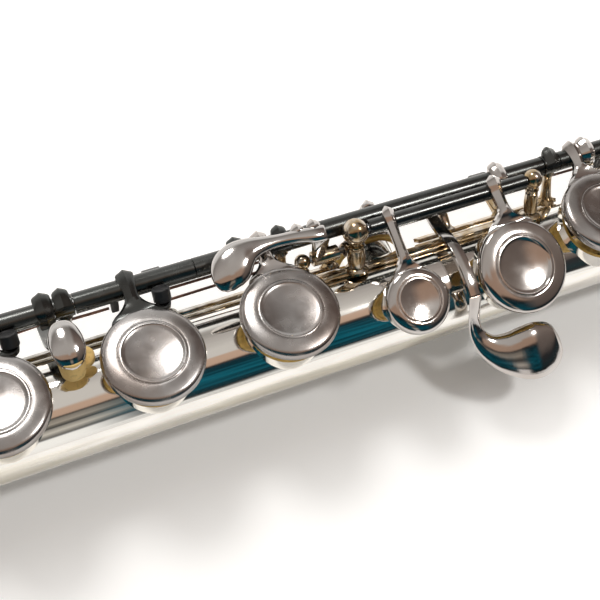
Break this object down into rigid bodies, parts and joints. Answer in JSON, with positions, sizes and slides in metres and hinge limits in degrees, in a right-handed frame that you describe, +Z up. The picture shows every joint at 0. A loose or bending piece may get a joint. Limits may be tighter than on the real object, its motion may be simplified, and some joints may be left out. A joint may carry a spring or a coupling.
{
  "type": "concert flute",
  "caption": "Transverse concert flute in C in three joints, with closed-hole key cups on hinge tubes, offset G, side and thumb levers, lip plate and C foot.",
  "frame": {"origin": "middle of the flute's footprint on the table, with the flute lying on its barrel rings, keys up", "axes": "+X along the tube towards the crown, +Y to the player's side where the hinge rods are, +Z up"},
  "size_m": [0.6596, 0.0464, 0.0312],
  "materials": {
    "silver_plate": "polished silver plate with light tarnish",
    "key_silver": "satin worn silver plate",
    "steel": "bright drawn steel",
    "pad_skin": "pale yellow skin over felt",
    "cork": "fine-grained cork"
  },
  "bodies": {
    "flute_body": {"body_tube": "silver_plate", "barrel": "silver_plate", "right_hand_rib": "silver_plate", "left_hand_rib": "silver_plate", "top_rib": "silver_plate", "thumb_rib": "silver_plate", "offset_rib": "silver_plate", "right_hand_rod": "steel", "offset_rod": "steel", "side_lever_rod": "steel", "g_sharp_rod": "steel", "thumb_rod": "steel"},
    "head_joint": {"head_tube": "silver_plate", "mouth_riser": "silver_plate", "lip_plate": "silver_plate", "stopper_cork": "cork", "stopper_screw": "silver_plate"},
    "crown": {"crown": "silver_plate"},
    "foot_joint": {"foot_tube": "silver_plate", "foot_rib": "silver_plate", "e_flat_rib": "silver_plate", "e_flat_rod": "steel"},
    "d_key": {"d_key": "key_silver", "d_pad": "pad_skin"},
    "e_key": {"e_key": "key_silver", "e_pad": "pad_skin"},
    "f_key": {"f_key": "key_silver", "f_pad": "pad_skin"},
    "f_sharp_key": {"f_sharp_key": "key_silver", "f_sharp_pad": "pad_skin"},
    "a_key": {"a_key": "key_silver", "a_pad": "pad_skin"},
    "b_flat_key": {"b_flat_key": "key_silver", "b_flat_pad": "pad_skin", "b_flat_link": "key_silver", "left_hand_rod": "steel"},
    "c_key": {"c_key": "key_silver", "c_sharp_pad": "pad_skin"},
    "b_flat_lever": {"b_flat_lever": "key_silver"},
    "g_key": {"g_key": "key_silver", "g_pad": "pad_skin", "g_twin_pad": "pad_skin"},
    "g_sharp_key": {"g_sharp_key": "key_silver", "g_sharp_pad": "pad_skin"},
    "trill_d_key": {"trill_d_key": "key_silver", "trill_d_pad": "pad_skin", "trill_cork": "pad_skin"},
    "trill_e_flat_key": {"trill_e_flat_key": "key_silver", "trill_e_flat_pad": "pad_skin"},
    "b_thumb_key": {"b_thumb_key": "key_silver", "b_thumb_pad": "pad_skin"},
    "b_flat_thumb_lever": {"b_flat_thumb_lever": "key_silver"},
    "e_flat_key": {"e_flat_key": "key_silver", "e_flat_pad": "pad_skin"},
    "low_c_sharp_key": {"low_c_sharp_key": "key_silver", "low_c_sharp_pad": "pad_skin"},
    "low_c_key": {"low_c_key": "key_silver", "low_c_pad": "pad_skin"},
    "low_c_sharp_roller": {"low_c_sharp_roller": "key_silver"},
    "low_c_roller": {"low_c_roller": "key_silver"}
  },
  "joints": [
    {"name": "head_slide", "type": "slide", "parent": "flute_body", "child": "head_joint", "axis": [1, 0, 0], "range_m": [0, 0.01]},
    {"name": "crown_turn", "type": "hinge", "parent": "head_joint", "child": "crown", "pos_m": [0.318, 0.00197, 0.0116], "axis": [1, 0, 0], "continuous": true},
    {"name": "foot_turn", "type": "hinge", "parent": "flute_body", "child": "foot_joint", "pos_m": [-0.21, 0.00197, 0.0116], "axis": [1, 0, 0], "range_deg": [-25, 25]},
    {"name": "d_key_hinge", "type": "hinge", "parent": "flute_body", "child": "d_key", "pos_m": [-0.1938, 0.01677, 0.0238], "axis": [1, 0, 0], "range_deg": [0, 9.9], "stiffness_Nm_per_rad": 0.02, "springref_deg": -17.19},
    {"name": "e_key_hinge", "type": "hinge", "parent": "flute_body", "child": "e_key", "pos_m": [-0.1644, 0.01677, 0.0238], "axis": [1, 0, 0], "range_deg": [0, 9.9], "stiffness_Nm_per_rad": 0.02, "springref_deg": -17.19},
    {"name": "f_key_hinge", "type": "hinge", "parent": "flute_body", "child": "f_key", "pos_m": [-0.1367, 0.01677, 0.0238], "axis": [1, 0, 0], "range_deg": [0, 9.9], "stiffness_Nm_per_rad": 0.02, "springref_deg": -17.19},
    {"name": "f_sharp_key_hinge", "type": "hinge", "parent": "flute_body", "child": "f_sharp_key", "pos_m": [-0.1105, 0.01677, 0.0238], "axis": [1, 0, 0], "range_deg": [0, 9.9], "stiffness_Nm_per_rad": 0.02, "springref_deg": -17.19},
    {"name": "a_key_hinge", "type": "hinge", "parent": "flute_body", "child": "a_key", "pos_m": [-0.0405, 0.01677, 0.0238], "axis": [1, 0, 0], "range_deg": [0, 9.9], "stiffness_Nm_per_rad": 0.02, "springref_deg": -17.19},
    {"name": "b_flat_key_hinge", "type": "hinge", "parent": "flute_body", "child": "b_flat_key", "pos_m": [-0.0197, 0.01677, 0.0238], "axis": [1, 0, 0], "range_deg": [0, 9.9], "stiffness_Nm_per_rad": 0.02, "springref_deg": -17.19},
    {"name": "c_key_hinge", "type": "hinge", "parent": "flute_body", "child": "c_key", "pos_m": [0.0298, 0.01677, 0.0238], "axis": [1, 0, 0], "range_deg": [0, 9.9], "stiffness_Nm_per_rad": 0.02, "springref_deg": -17.19},
    {"name": "b_flat_lever_hinge", "type": "hinge", "parent": "flute_body", "child": "b_flat_lever", "pos_m": [-0.0982, 0.01247, 0.0216], "axis": [1, 0, 0], "range_deg": [0, 8], "stiffness_Nm_per_rad": 0.02, "springref_deg": -17.19},
    {"name": "g_key_hinge", "type": "hinge", "parent": "flute_body", "child": "g_key", "pos_m": [-0.072, 0.01347, 0.0273], "axis": [1, 0, 0], "range_deg": [0, 7], "stiffness_Nm_per_rad": 0.02, "springref_deg": -17.19},
    {"name": "g_sharp_key_hinge", "type": "hinge", "parent": "flute_body", "child": "g_sharp_key", "pos_m": [-0.0858, 0.01807, 0.02], "axis": [1, 0, 0], "range_deg": [0, 4], "stiffness_Nm_per_rad": 0.02, "springref_deg": -17.19},
    {"name": "trill_d_key_hinge", "type": "hinge", "parent": "flute_body", "child": "trill_d_key", "pos_m": [-0.053, 0.02057, 0.014], "axis": [1, 0, 0], "range_deg": [0, 6], "stiffness_Nm_per_rad": 0.02, "springref_deg": -17.19},
    {"name": "trill_e_flat_key_hinge", "type": "hinge", "parent": "flute_body", "child": "trill_e_flat_key", "pos_m": [-0.058, 0.02057, 0.014], "axis": [1, 0, 0], "range_deg": [0, 6], "stiffness_Nm_per_rad": 0.02, "springref_deg": -17.19},
    {"name": "b_thumb_key_hinge", "type": "hinge", "parent": "flute_body", "child": "b_thumb_key", "pos_m": [0.0168, 0.01847, 0.0026], "axis": [1, 0, 0], "range_deg": [0, 7], "stiffness_Nm_per_rad": 0.02, "springref_deg": -17.19},
    {"name": "b_flat_thumb_lever_hinge", "type": "hinge", "parent": "flute_body", "child": "b_flat_thumb_lever", "pos_m": [0.0246, 0.01847, 0.0026], "axis": [1, 0, 0], "range_deg": [0, 4], "stiffness_Nm_per_rad": 0.02, "springref_deg": -17.19},
    {"name": "e_flat_key_hinge", "type": "hinge", "parent": "foot_joint", "child": "e_flat_key", "pos_m": [-0.2285, -0.01163, 0.021], "axis": [1, 0, 0], "range_deg": [0, 9], "stiffness_Nm_per_rad": 0.02, "springref_deg": -17.19},
    {"name": "low_c_sharp_key_hinge", "type": "hinge", "parent": "foot_joint", "child": "low_c_sharp_key", "pos_m": [-0.262, 0.01677, 0.0238], "axis": [1, 0, 0], "range_deg": [0, 9.9], "stiffness_Nm_per_rad": 0.02, "springref_deg": -17.19},
    {"name": "low_c_key_hinge", "type": "hinge", "parent": "foot_joint", "child": "low_c_key", "pos_m": [-0.293, 0.01677, 0.0238], "axis": [1, 0, 0], "range_deg": [0, 9.9], "stiffness_Nm_per_rad": 0.02, "springref_deg": -17.19},
    {"name": "low_c_sharp_roller_spin", "type": "hinge", "parent": "low_c_sharp_key", "child": "low_c_sharp_roller", "pos_m": [-0.2508, -0.0154, 0.02678], "axis": [1, 0, 0], "continuous": true},
    {"name": "low_c_roller_spin", "type": "hinge", "parent": "low_c_key", "child": "low_c_roller", "pos_m": [-0.2508, -0.01954, 0.0275], "axis": [1, 0, 0], "continuous": true}
  ],
  "couplings": [
    {"joint": "f_sharp_key_hinge", "follows": "f_key_hinge", "ratio": 1},
    {"joint": "b_flat_key_hinge", "follows": "a_key_hinge", "ratio": 1}
  ]
}
